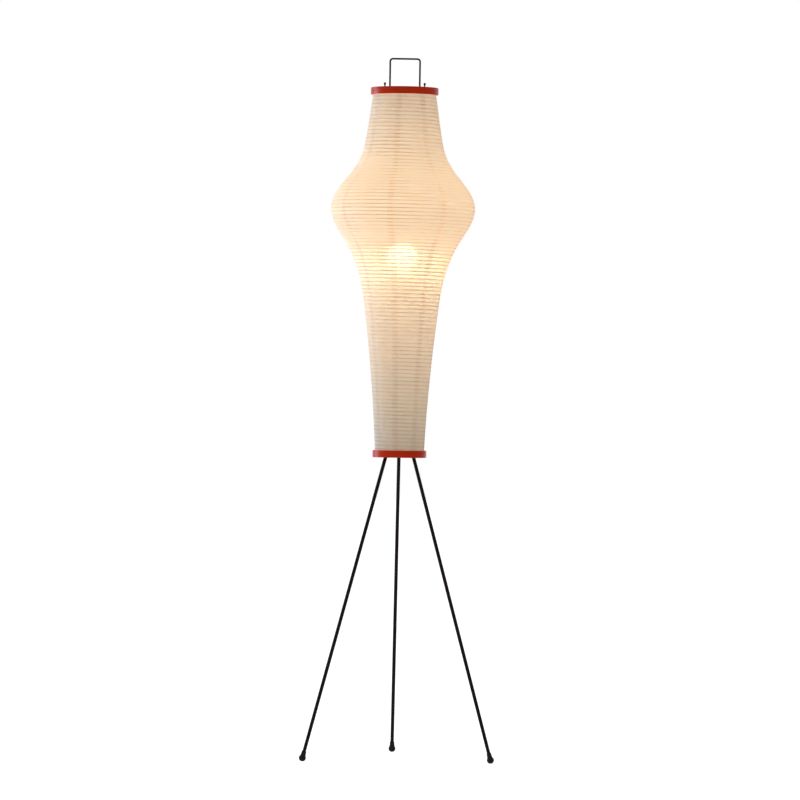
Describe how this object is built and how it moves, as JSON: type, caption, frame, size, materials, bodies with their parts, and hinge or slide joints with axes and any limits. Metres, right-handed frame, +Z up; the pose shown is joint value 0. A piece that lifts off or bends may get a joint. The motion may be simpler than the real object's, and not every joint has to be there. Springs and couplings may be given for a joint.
{
  "type": "floor lamp",
  "caption": "Paper lantern floor lamp: ribbed flared paper shade between two lacquered hoops on a wire frame, on three splayed rod legs with rubber feet.",
  "frame": {"origin": "on the floor, under the lamp's axis, at the centre of the circle of the three feet", "axes": "+Z up along the lamp's axis, +Y towards the back leg, +X to the right seen from the front"},
  "size_m": [0.4334, 0.4108, 1.57],
  "materials": {
    "washi_paper": "matt translucent laid paper",
    "bamboo": "split bamboo strip",
    "red_lacquer": "gloss red-orange lacquer on bent wood",
    "black_steel": "satin black enamel",
    "zinc_steel": "zinc plated",
    "rubber": "moulded",
    "phenolic": "moulded",
    "porcelain": "glazed",
    "brass": "pressed",
    "cap_metal": "rolled thread",
    "black_glass": "moulded",
    "lit_glass": "opal, lit",
    "clear_glass": "pressed",
    "filament": "glowing"
  },
  "bodies": {
    "frame": {"leg_hub": "black_steel", "cord_grommet": "rubber", "frame_wire": "black_steel", "frame_nuts": "zinc_steel", "ring_hooks": "black_steel", "holder_bridge": "black_steel", "bridge_grub_screws": "zinc_steel", "holder_nipple": "zinc_steel", "nipple_nut": "zinc_steel", "lampholder_cap": "phenolic", "lampholder_skirt": "phenolic", "lampholder_insert": "porcelain", "lampholder_screw_shell": "brass", "lampholder_contact": "brass", "terminal_screws": "brass", "upper_ring": "red_lacquer", "upper_cross_wires": "zinc_steel", "paper_gore_1": "washi_paper", "paper_gore_2": "washi_paper", "paper_gore_3": "washi_paper", "paper_gore_4": "washi_paper", "paper_gore_5": "washi_paper", "paper_gore_6": "washi_paper", "paper_gore_7": "washi_paper", "paper_gore_8": "washi_paper", "shade_ribs": "bamboo"},
    "lower_hoop": {"lower_ring": "red_lacquer", "lower_cross_wires": "zinc_steel"},
    "bulb_tip": {"bulb_contact": "cap_metal"},
    "bulb": {"bulb_insulator": "black_glass", "bulb_cap": "cap_metal", "bulb_glass": "lit_glass", "bulb_stem": "clear_glass", "bulb_filament": "filament"},
    "back_stud": {"leg_stud_back": "zinc_steel"},
    "back_leg": {"leg_back": "black_steel", "foot_back": "rubber"},
    "left_stud": {"leg_stud_left": "zinc_steel"},
    "left_leg": {"leg_left": "black_steel", "foot_left": "rubber"},
    "right_stud": {"leg_stud_right": "zinc_steel"},
    "right_leg": {"leg_right": "black_steel", "foot_right": "rubber"}
  },
  "joints": [
    {"name": "lower_hoop_lift", "type": "slide", "parent": "frame", "child": "lower_hoop", "axis": [0, 0, 1], "range_m": [0, 0.66], "deforming": ["paper_gore_1", "paper_gore_2", "paper_gore_3", "paper_gore_4", "paper_gore_5", "paper_gore_6", "paper_gore_7", "paper_gore_8", "shade_ribs"]},
    {"name": "bulb_rise", "type": "slide", "parent": "frame", "child": "bulb_tip", "axis": [0, 0, 1], "range_m": [0, 0.0182]},
    {"name": "bulb_turn", "type": "hinge", "parent": "bulb_tip", "child": "bulb", "pos_m": [0, 0, 1.1], "axis": [0, 0, 1], "range_deg": [0, 1800]},
    {"name": "back_leg_travel", "type": "slide", "parent": "frame", "child": "back_stud", "axis": [0, 0.2932, -0.9561], "range_m": [0, 0.015]},
    {"name": "back_leg_turn", "type": "hinge", "parent": "back_stud", "child": "back_leg", "pos_m": [0, 0.036, 0.6761], "axis": [0, 0.2932, -0.9561], "range_deg": [0, 5400]},
    {"name": "left_leg_travel", "type": "slide", "parent": "frame", "child": "left_stud", "axis": [-0.2539, -0.1466, -0.9561], "range_m": [0, 0.015]},
    {"name": "left_leg_turn", "type": "hinge", "parent": "left_stud", "child": "left_leg", "pos_m": [-0.03118, -0.018, 0.6761], "axis": [-0.2539, -0.1466, -0.9561], "range_deg": [0, 5400]},
    {"name": "right_leg_travel", "type": "slide", "parent": "frame", "child": "right_stud", "axis": [0.2539, -0.1466, -0.9561], "range_m": [0, 0.015]},
    {"name": "right_leg_turn", "type": "hinge", "parent": "right_stud", "child": "right_leg", "pos_m": [0.03118, -0.018, 0.6761], "axis": [0.2539, -0.1466, -0.9561], "range_deg": [0, 5400]}
  ],
  "couplings": [
    {"joint": "bulb_rise", "follows": "bulb_turn", "m_per_rad": 0.00057773},
    {"joint": "back_leg_turn", "follows": "back_leg_travel", "rad_per_m": 6283.2},
    {"joint": "left_leg_turn", "follows": "left_leg_travel", "rad_per_m": 6283.2},
    {"joint": "right_leg_turn", "follows": "right_leg_travel", "rad_per_m": 6283.2}
  ]
}
